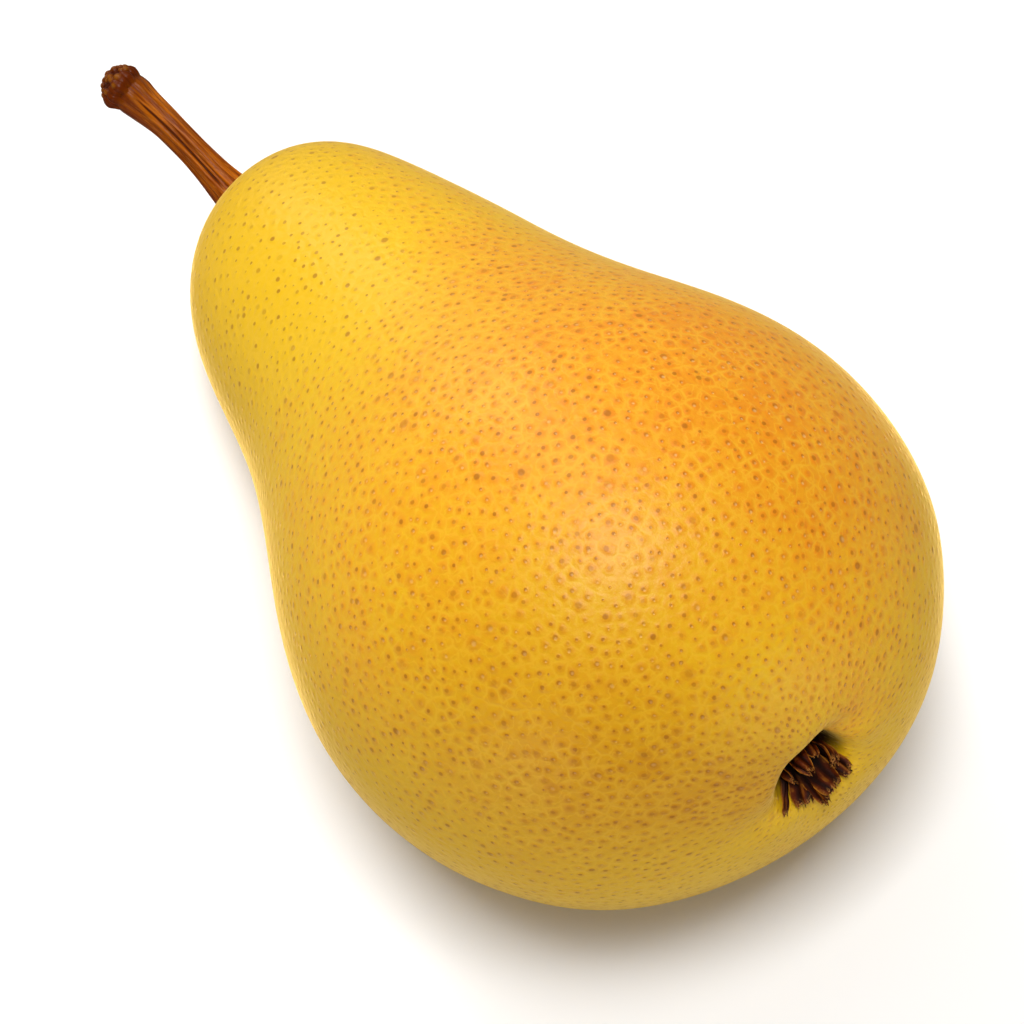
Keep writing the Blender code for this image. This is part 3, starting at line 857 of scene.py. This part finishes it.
def noise_at(places, seed):
    """Soft noise between about -1 and 1 at each place."""
    shift = Vector((17.3 * seed, 5.1 * seed, 9.7 * seed))
    return np.array([noise.noise(Vector(place) + shift) for place in places.tolist()])


def window(share, start, end):
    """Rises from 0 to 1 about start and falls back about end."""
    up = np.clip((share - start) / GROOVE_FADE + 0.5, 0, 1)
    down = np.clip((end - share) / GROOVE_FADE + 0.5, 0, 1)
    return up * up * (3 - 2 * up) * down * down * (3 - 2 * down)


def bark_height(share, turn, along, radius):
    """How far the bark stands off the plain stem, its depth in a groove, and its place in the grain."""
    ribs = RIB_HEIGHT * np.cos(RIB_COUNT * (turn - RIB_TWIST * share))
    round_stem = (np.cos(turn) * STRIA_CLOSENESS, np.sin(turn) * STRIA_CLOSENESS)
    place = np.stack((*round_stem, along / STRIA_LENGTH), axis=1)
    striae = STRIA_HEIGHT * noise_at(place, 1) + 0.5 * STRIA_HEIGHT * noise_at(place * STRIA_FINER, 2)
    grooves = np.zeros(len(share))
    for way, wind, depth, width, start, end in GROOVES:
        middle = math.radians(way) + math.radians(wind) * (share - 0.5)
        off = np.angle(np.exp(1j * (turn - middle))) * radius / (width * MM)
        grooves = np.maximum(grooves, depth * MM * window(share, start, end) * np.exp(-(off**2)))
    return ribs + striae - grooves, grooves, place


def stem_line():
    """The rings of the stem: middle points, ways along, radii, and how far over the dome each lies."""
    x, y, z, radius = (np.array(column) * MM for column in zip(*STEM_STATIONS))
    steps = np.sqrt(np.diff(x) ** 2 + np.diff(y) ** 2 + np.diff(z) ** 2)
    places = np.concatenate(([0], np.cumsum(steps)))
    along = np.linspace(0, places[-1], STEM_RINGS)
    middle = np.stack([smooth_through(list(zip(places, column)), along) for column in (x, y, z)], axis=1)
    reach = smooth_through(list(zip(places, radius)), along)
    ahead = np.gradient(middle, axis=0)
    ahead /= np.linalg.norm(ahead, axis=1, keepdims=True)
    over = np.linspace(0, math.pi / 2, KNOB_RINGS + 1)[1:-1]
    count = len(over)
    middle = np.concatenate((middle, np.repeat(middle[-1:], count, axis=0)))
    ahead = np.concatenate((ahead, np.repeat(ahead[-1:], count, axis=0)))
    reach = np.concatenate((reach, np.repeat(reach[-1:], count)))
    along = np.concatenate((along, places[-1] + KNOB_DOME * np.sin(over)))
    return middle, ahead, reach, np.concatenate((np.zeros(STEM_RINGS), over)), along


def knob_height(points, centre, ahead, side, across, reach):
    """How far the lobes and nodules of the free end stand off it, and how near each point is to a nodule."""
    draw = np.random.default_rng(KNOB_SEED)
    golden_turn = math.pi * (3 - math.sqrt(5))
    height = np.full(len(points), -KNOB_GAP_DEPTH)
    nodules = np.zeros(len(points))
    for k in range(KNOB_RIM_BUMPS + KNOB_BUMPS):
        on_rim = k < KNOB_RIM_BUMPS
        if on_rim:
            step = k + draw.uniform(-KNOB_RIM_TURN_SPREAD, KNOB_RIM_TURN_SPREAD)
            turn = 2 * math.pi * step / KNOB_RIM_BUMPS
            rise = KNOB_RIM_RISE + draw.uniform(-KNOB_RIM_RISE_SPREAD, KNOB_RIM_RISE_SPREAD)
            size = draw.uniform(*KNOB_BUMP_SIZES)
        else:
            turn = k * golden_turn + draw.uniform(-KNOB_TURN_SPREAD, KNOB_TURN_SPREAD)
            rise = 1 - KNOB_COVERED * (k - KNOB_RIM_BUMPS + 0.5) / KNOB_BUMPS
            size = draw.uniform(*KNOB_NODULE_SIZES)
        spread = math.sqrt(1 - rise * rise)
        flat = side * math.cos(turn) + across * math.sin(turn)
        place = centre + flat * spread * reach + ahead * rise * KNOB_DOME
        away = points - place
        if on_rim:
            away = away - ahead * ((1 - KNOB_RIM_LENGTHENING) * (away @ ahead))[:, None]
        off = np.linalg.norm(away, axis=1)
        sink = KNOB_BUMP_SINK if on_rim else 0.5 * KNOB_BUMP_SINK
        bump = np.sqrt(np.maximum(size**2 - off**2, 0)) - sink
        bump = np.where(off < size, bump, -KNOB_GAP_DEPTH)
        blend = np.clip(0.5 + (bump - height) / (2 * KNOB_BLEND), 0, 1)
        if not on_rim:
            nodules = np.maximum(nodules, np.clip((size - off) / (KNOB_NODULE_FADE * size), 0, 1))
        height = height * (1 - blend) + bump * blend + KNOB_BLEND * blend * (1 - blend)
    return height, nodules


def make_stem(place):
    middle, ahead, reach, over, along = stem_line()
    rings = len(middle)
    side = np.array((1.0, 0.0, 0.0)) - ahead * ahead[:, :1]
    side /= np.linalg.norm(side, axis=1, keepdims=True)
    across = np.cross(ahead, side)
    turn = np.linspace(0, 2 * math.pi, STEM_SIDES, endpoint=False)

    def spread(rows):
        return np.repeat(rows, STEM_SIDES, axis=0)

    turns = np.tile(turn, rings)
    flat = spread(side) * np.cos(turns)[:, None] + spread(across) * np.sin(turns)[:, None]
    way = flat * np.cos(spread(over))[:, None] + spread(ahead) * np.sin(spread(over))[:, None]
    level = flat * (spread(reach) * np.cos(spread(over)))[:, None]
    level = spread(middle) + level + spread(ahead) * (KNOB_DOME * np.sin(spread(over)))[:, None]
    share = spread(along / along[-1])
    bark, groove, bark_place = bark_height(share, turns, spread(along), spread(reach))
    knob_start = along[STEM_RINGS - 1]
    on_knob = np.clip((spread(along) - knob_start + KNOB_REACH) / KNOB_FADE, 0, 1)
    bumps, nodules = knob_height(level, middle[-1], ahead[-1], side[-1], across[-1], reach[-1])
    height = bark * (1 - on_knob) + bumps * on_knob
    points = level + way * height[:, None]
    root = middle[0]
    tip = middle[-1] + ahead[-1] * (KNOB_DOME + height[-STEM_SIDES:].mean())
    own = np.concatenate(([root], points, [tip]))
    faces = [tuple(reversed(face)) for face in grid_faces(rings + 1, STEM_SIDES)]
    piece = show("stem_bark", moved(own, place), faces, "stem", bark_material())

    def with_ends(values):
        return np.concatenate((values[:1], values, values[-1:]))

    mesh = piece.data
    write_attribute(mesh, "groove", with_ends(groove / MM * (1 - on_knob)))
    write_attribute(mesh, "knob", with_ends(on_knob))
    near_end = np.clip((spread(along) - knob_start + KNOB_DARK_REACH) / KNOB_DARK_REACH, 0, 1)
    near_root = np.clip((ROOT_DARK_REACH - spread(along)) / (ROOT_DARK_REACH / 2), 0, 1)
    # Painted shade on the side turned away from the painted light
    painted_shade = (1 - np.cos(turns - STEM_PAINTED_LIGHT_WAY)) / 2
    dark = 1 - (1 - near_end) * (1 - ROOT_DARK_SHARE * near_root) * (1 - painted_shade)
    write_attribute(mesh, "end", with_ends(dark))
    top = np.clip((bumps + KNOB_GAP_DEPTH) / KNOB_TOP, 0, 1)
    write_attribute(mesh, "bump_top", with_ends(top))
    write_attribute(mesh, "nodule", with_ends(nodules))
    write_attribute(mesh, "bark_place", with_ends(bark_place), "FLOAT_VECTOR")
    return piece


def bark_material():
    bark = Material("stem_bark")
    place = bark.attribute("bark_place", "Vector")
    finer = bark.node("VectorMath", {0: place, 1: (BARK_FINER,) * 3}, operation="MULTIPLY")
    broad = bark.noise(place, BARK_DETAIL)
    fine = bark.noise(finer, BARK_DETAIL, BARK_FINE_ROUGHNESS)
    colour = bark.mix(bark.rise(broad, *BARK_BROAD_RANGE), BARK_DEEP, BARK)
    pale = bark.math("MULTIPLY", bark.rise(fine, *BARK_PALE_RANGE), BARK_PALE_SHARE)
    colour = bark.mix(pale, colour, BARK_PALE)
    # Painted shade in the grooves, darker where they are deeper
    colour = bark.mix(bark.rise(bark.attribute("groove"), *GROOVE_SHADE_RANGE), colour, BARK_GROOVE_SHADE)
    knob_colour = bark.mix(bark.attribute("nodule"), KNOB_RIM, KNOB_NODULE)
    # Painted shade in the gaps between the knob's bumps
    knob_colour = bark.mix(bark.rise(bark.attribute("bump_top"), *KNOB_TOP_RANGE), BARK_GROOVE_SHADE, knob_colour)
    # Darker toward the free end and the root, and on one side as painted shade
    colour = bark.mix(bark.math("MULTIPLY", bark.attribute("end"), BARK_DARK_AND_SHADE_SHARE), colour, BARK_DARK_AND_SHADE)
    colour = bark.mix(bark.rise(bark.attribute("knob"), *KNOB_RANGE), colour, knob_colour)
    height = bark.math("MULTIPLY", fine, BARK_FINE_HEIGHT)
    return bark.finish(
        Base_Color=colour,
        Roughness=BARK_ROUGHNESS,
        Normal=bark.bump(height),
        Specular_IOR_Level=BARK_SPECULAR,
    )


def basin_height(radius):
    """The height of the basin's surface above the blossom end, from its middle out."""
    end_radius = BLOSSOM_END_ROUNDING**2 / (2 / 3 * (BELLY_HEIGHT - BELLY_HANDLE_DOWN))
    return radius**2 / (2 * end_radius) + basin_dent(radius)


def noise_along(places, closeness, seed):
    """Noise at places on a line."""
    flat = 0 * places
    return noise_at(np.stack((places * closeness, flat, flat), axis=1), seed)


def sepal_width(along, half_width, point):
    """Half the width of a sepal at places along it."""
    swell = SEPAL_SWELL * np.sin(SEPAL_SWELL_LENGTH * math.pi * np.minimum(along, 1))
    taper = np.clip((along - SEPAL_TAPER_FROM) / SEPAL_TAPER_LENGTH, 0, 1)
    end = np.sqrt(np.clip(1 - SEPAL_TIP_NARROWING * taper**SEPAL_TIP_SQUARENESS, 0, 1))
    return half_width * (SEPAL_ROOT_WIDTH + swell) * (1 - point * taper**SEPAL_TAPER_CURVE) * end


def sepal_relief(along, across, seed):
    """The ruffles and ridges of a sepal, and how far each place lies on a ridge."""
    close_along, close_across = SEPAL_RUFFLE_CLOSENESS
    places = np.broadcast_arrays(along * close_along, across * close_across, 0 * along)
    ruffle = noise_at(np.stack(places, axis=-1).reshape(-1, 3), seed + 20).reshape(SEPAL_ROWS, SEPAL_COLUMNS)
    wander = noise_along(along[:, 0], SEPAL_RIDGE_WANDER_CLOSENESS, seed)[:, None]
    ridge = np.cos(SEPAL_RIDGES * math.pi * across + SEPAL_RIDGE_WANDER * wander)
    ridges = SEPAL_RIDGE_HEIGHT * ridge * np.minimum(1, along * SEPAL_RIDGE_GROWTH)
    return SEPAL_RUFFLE * ruffle * along, ridges, ridge


def clear_of_basin(out, height):
    """Heights lowered where they need it, so that a sepal stays off the basin's surface."""
    slope = (basin_height(out + SLOPE_STEP) - basin_height(out - SLOPE_STEP)) / (2 * SLOPE_STEP)
    clear = (SEPAL_CLEAR + SEPAL_CLEAR_SHARE * SEPAL_THICKNESS) * np.sqrt(1 + slope * slope)
    return np.minimum(height, basin_height(out) - clear)


def sepal_sheet(sepal, seed):
    """The middle sheet of one sepal as rows of points, from root to tip, and how far each lies on a ridge."""
    reach, tip_height, half_width, arch, fold, curl = (sepal[k] * MM for k in (1, 2, 3, 4, 5, 8))
    direction, point, lean = math.radians(sepal[0]), sepal[6], math.radians(sepal[7])
    across = np.linspace(-1, 1, SEPAL_COLUMNS)[None, :]
    along = np.linspace(0, 1, SEPAL_ROWS)[:, None]
    ragged = SEPAL_RAGGED * noise_along(across[0], SEPAL_RAGGED_CLOSENESS, seed + 40)[None, :]
    along = along * (1 + ragged * along**4)
    root_height = basin_height(0.0) - CALYX_GAP - 0.5 * CALYX_BASE_HEIGHT
    bow = np.sin(math.pi * np.minimum(along, 1))
    out = SEPAL_ROOT_RADIUS + (reach - SEPAL_ROOT_RADIUS) * along**SEPAL_FLARE - arch * bow
    height = root_height + (tip_height - root_height) * along
    width = sepal_width(along, half_width, point)
    ruffle, ridges, ridge = sepal_relief(along, across, seed)
    opened = np.sin(math.pi * np.minimum(1, along * SEPAL_FOLD_GROWTH) / 2)
    rolled = SEPAL_ROLL * np.clip(np.abs(across) - SEPAL_ROLL_FROM, 0, 1) / SEPAL_ROLL_WIDTH
    inward = (fold * np.abs(across) ** SEPAL_FOLD_CURVE - rolled) * opened
    end = np.clip((along - SEPAL_CURL_FROM) / SEPAL_CURL_LENGTH, 0, 1) ** 2
    out = out - inward - curl * end + ridges + ruffle
    height = height - SEPAL_CURL_LIFT * abs(curl) * end + SEPAL_RUFFLE_LIFT * ruffle
    height = clear_of_basin(out, height)
    turn = direction + lean * along**2 + across * width / np.maximum(out, CALYX_BASE_RADIUS)
    return np.stack((out * np.cos(turn), out * np.sin(turn), height), axis=-1), ridge


def thick_sheet(sheet, thickness):
    """Points and faces of a sheet of rows made solid, thinner toward its edges and tip."""
    rows, columns = sheet.shape[:2]
    along = np.gradient(sheet, axis=0)
    across = np.gradient(sheet, axis=1)
    normal = np.cross(across, along)
    normal /= np.maximum(np.linalg.norm(normal, axis=2, keepdims=True), 1e-12)
    edge = 1 - np.linspace(-1, 1, columns)[None, :, None] ** SHEET_EDGE_CURVE * SHEET_EDGE_THINNING
    tip = 1 - np.linspace(0, 1, rows)[:, None, None] ** SHEET_TIP_CURVE * SHEET_TIP_THINNING
    half = normal * thickness / 2 * edge * tip
    points = np.concatenate(((sheet + half).reshape(-1, 3), (sheet - half).reshape(-1, 3)))
    count = rows * columns
    faces = []
    for row in range(rows - 1):
        for k in range(columns - 1):
            a = row * columns + k
            quad = (a, a + columns, a + columns + 1, a + 1)
            faces.append(tuple(reversed(quad)))
            faces.append(tuple(count + corner for corner in quad))
    rim = [*range(columns - 1), *(row * columns + columns - 1 for row in range(rows - 1))]
    rim += [(rows - 1) * columns + k for k in range(columns - 1, 0, -1)]
    rim += [row * columns for row in range(rows - 1, 0, -1)]
    for here, there in zip(rim, rim[1:] + rim[:1]):
        faces.append((here, there, count + there, count + here))
    return points, faces


def calyx_base():
    """Points and faces of the low base that the sepals grow from."""
    turn = np.linspace(0, 2 * math.pi, CALYX_BASE_SIDES, endpoint=False)
    top = basin_height(0.0) - CALYX_GAP
    points = [(0, 0, top)]
    for radius, down in CALYX_BASE_PROFILE:
        reach, height = CALYX_BASE_RADIUS * radius, top - CALYX_BASE_HEIGHT * down
        points += [(reach * math.cos(t), reach * math.sin(t), height) for t in turn]
    points.append((0, 0, top - CALYX_BASE_HEIGHT))
    return np.array(points), grid_faces(len(CALYX_BASE_PROFILE) + 1, CALYX_BASE_SIDES)


def make_calyx(place):
    points, faces, ridge = [], [], []
    count = 0
    for k, sepal in enumerate(SEPALS):
        sheet, on_ridge = sepal_sheet(sepal, CALYX_SEED + k)
        made, made_faces = thick_sheet(sheet, SEPAL_THICKNESS)
        points.append(made)
        faces += [tuple(count + corner for corner in face) for face in made_faces]
        ridge.append(np.tile(on_ridge.ravel(), 2))
        count += len(made)
    base, base_faces = calyx_base()
    points.append(base)
    faces += [tuple(count + corner for corner in face) for face in base_faces]
    own = np.concatenate(points)
    own[:, 0] += smooth_through(MIDDLE_LINE, np.zeros(1))[0] + BASIN_SIDEWAYS
    mesh = show("calyx_dried", moved(own, place), faces, "calyx", calyx_material()).data

    on_base = np.zeros(len(base))
    edge = np.tile(np.abs(np.linspace(-1, 1, SEPAL_COLUMNS)), SEPAL_ROWS * 2 * len(SEPALS))
    tip = np.tile(np.repeat(np.linspace(0, 1, SEPAL_ROWS), SEPAL_COLUMNS), 2 * len(SEPALS))
    write_attribute(mesh, "edge", np.concatenate((edge, on_base)))
    write_attribute(mesh, "tip", np.concatenate((tip, on_base)))
    write_attribute(mesh, "ridge", np.concatenate((*ridge, on_base)))


def calyx_material():
    dried = Material("calyx_dried")
    broad = dried.noise(dried.place(SEPAL_BROAD_STEP), SEPAL_DETAIL)
    fine = dried.noise(dried.place(SEPAL_FINE_STEP), SEPAL_DETAIL, SEPAL_FINE_ROUGHNESS)
    along, across = dried.attribute("tip"), dried.attribute("edge")
    # Darker in random patches and, as painted shade, in the valleys between the ridges
    uneven = dried.math("ADD", dried.attribute("ridge"), dried.ramp(broad, *SEPAL_BROAD_RANGE))
    ridge = dried.rise(uneven, *SEPAL_RIDGE_RANGE)
    colour = dried.mix(ridge, SEPAL_DARK_AND_SHADE, SEPAL_BROWN)
    crest = dried.math(
        "MULTIPLY", dried.rise(ridge, *SEPAL_CREST_RANGE), dried.rise(broad, *SEPAL_CREST_PATCHES)
    )
    colour = dried.mix(dried.math("MULTIPLY", crest, SEPAL_CREST_SHARE), colour, SEPAL_EDGE)
    # Painted shade: near-black toward each sepal's root, deep in the basin
    colour = dried.mix(dried.rise(along, *SEPAL_ROOT_SHADE_RANGE), SEPAL_ROOT_SHADE, colour)
    edge = dried.math(
        "MULTIPLY", dried.rise(across, *SEPAL_EDGE_RANGE), dried.rise(along, *SEPAL_EDGE_FROM_ROOT)
    )
    edge = dried.math("MULTIPLY", edge, dried.rise(broad, *SEPAL_EDGE_PATCHES))
    colour = dried.mix(edge, colour, SEPAL_EDGE)
    frayed = dried.math(
        "MULTIPLY", dried.rise(along, *SEPAL_FRAYED_RANGE), dried.rise(fine, *SEPAL_FRAYED_PATCHES)
    )
    colour = dried.mix(frayed, colour, SEPAL_FRAYED)
    height = dried.math("MULTIPLY", fine, SEPAL_FINE_HEIGHT)
    return dried.finish(
        Base_Color=colour,
        Roughness=SEPAL_ROUGHNESS,
        Normal=dried.bump(height),
        Specular_IOR_Level=SEPAL_SPECULAR,
    )


def make_camera():
    data = bpy.data.cameras.new("camera")
    data.lens = CAMERA_LENS
    data.sensor_width = CAMERA_SENSOR
    data.clip_start = CAMERA_NEAR
    camera = bpy.data.objects.new("camera", data)
    camera.location = CAMERA_PLACE
    camera.rotation_euler = CAMERA_TURN
    bpy.context.scene.collection.objects.link(camera)
    bpy.context.scene.camera = camera


def make_floor():
    mesh = bpy.data.meshes.new("floor")
    half = FLOOR_HALF_SIZE
    corners = [(-half, -half, 0), (half, -half, 0), (half, half, 0), (-half, half, 0)]
    mesh.from_pydata(corners, [], [(0, 1, 2, 3)])
    white = bpy.data.materials.new("floor_white")
    white.use_nodes = True
    shader = white.node_tree.nodes["Principled BSDF"]
    shader.inputs["Base Color"].default_value = FLOOR_WHITE
    shader.inputs["Roughness"].default_value = FLOOR_ROUGHNESS
    mesh.materials.append(white)
    floor = bpy.data.objects.new("floor", mesh)
    floor.location.z = -FLOOR_GAP
    floor.visible_glossy = False
    bpy.context.scene.collection.objects.link(floor)


def make_lights():
    """A pale studio: one strong softbox overhead and weaker ones all round, each given by the way to it."""
    world = bpy.data.worlds.new("studio")
    bpy.context.scene.world = world
    world.use_nodes = True
    background = world.node_tree.nodes["Background"]
    background.inputs["Color"].default_value = (1, 1, 1, 1)
    background.inputs["Strength"].default_value = WORLD_STRENGTH
    for name, azimuth, elevation, width, height, power in SOFTBOXES:
        data = bpy.data.lights.new(name, "AREA")
        data.shape = "RECTANGLE"
        data.size = width
        data.size_y = height
        data.energy = power
        lamp = bpy.data.objects.new(name, data)
        turn, rise = math.radians(azimuth), math.radians(elevation)
        flat = math.cos(rise)
        way = Vector((flat * math.cos(turn), flat * math.sin(turn), math.sin(rise)))
        lamp.location = LIT_PLACE + way * SOFTBOX_DISTANCE
        lamp.rotation_euler = (-way).to_track_quat("-Z", "Y").to_euler()
        lamp.visible_camera = False
        bpy.context.scene.collection.objects.link(lamp)


def main():
    place = make_body()
    stem = make_stem(place)
    stem.visible_shadow = False
    make_calyx(place)
    make_floor()
    make_lights()
    make_camera()
    bpy.context.scene.view_settings.view_transform = "Standard"


main()
